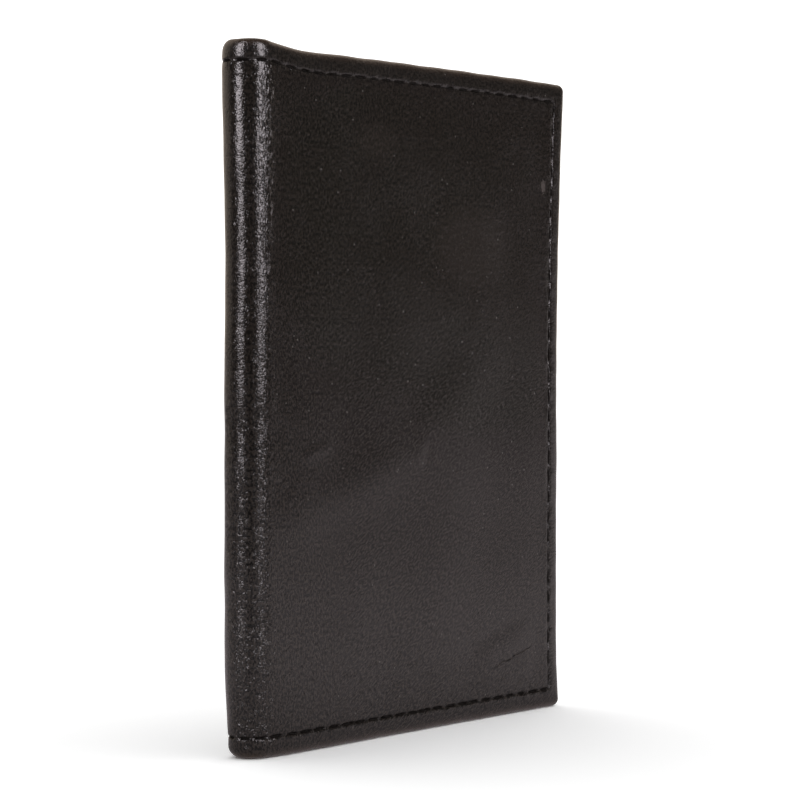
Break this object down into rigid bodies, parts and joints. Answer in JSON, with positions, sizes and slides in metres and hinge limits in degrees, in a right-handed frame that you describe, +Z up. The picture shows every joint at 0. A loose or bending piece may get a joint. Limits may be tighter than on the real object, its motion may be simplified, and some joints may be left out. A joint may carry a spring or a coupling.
{
  "type": "pass holder",
  "caption": "Folding leather pass holder in black, shut and standing on its bottom edge: two stiffened covers with turned, stitched edges, a round spine and a clear window pocket in each half.",
  "frame": {"origin": "middle of the edge that the shut holder stands on", "axes": "+Z up along the spine, +X from the spine to the fore-edge, +Y from the front cover to the back cover"},
  "size_m": [0.0794, 0.0078, 0.103],
  "materials": {
    "leather": "smooth black cowhide, fine grain, satin",
    "frame_leather": "thin black leather, satin",
    "lining": "fine black lining, matt",
    "board": "pressed leather fibre board",
    "window": "clear flexible sheet",
    "thread": "waxed black thread"
  },
  "bodies": {
    "back_cover": {"back_outer_leather": "leather", "back_stiffener_board": "board", "back_lining": "lining", "back_window_sheet": "window", "back_window_frame": "frame_leather", "back_edge_stitching": "thread", "back_window_stitching": "thread", "back_pocket_stitching": "thread"},
    "spine": {"spine_leather": "leather", "spine_reinforcement": "board", "spine_lining": "lining", "spine_stitching": "thread"},
    "front_cover": {"front_outer_leather": "leather", "front_stiffener_board": "board", "front_lining": "lining", "front_window_sheet": "window", "front_window_frame": "frame_leather", "front_edge_stitching": "thread", "front_window_stitching": "thread", "front_pocket_stitching": "thread"}
  },
  "joints": [
    {"name": "spine_fold", "type": "hinge", "parent": "back_cover", "child": "spine", "pos_m": [-0.03844, 0.00265, 0], "axis": [0, 0, -1], "range_deg": [0, 90]},
    {"name": "cover_fold", "type": "hinge", "parent": "spine", "child": "front_cover", "pos_m": [-0.03844, -0.00265, 0], "axis": [0, 0, -1], "range_deg": [0, 90]}
  ],
  "couplings": [
    {"joint": "cover_fold", "follows": "spine_fold", "ratio": 1}
  ]
}
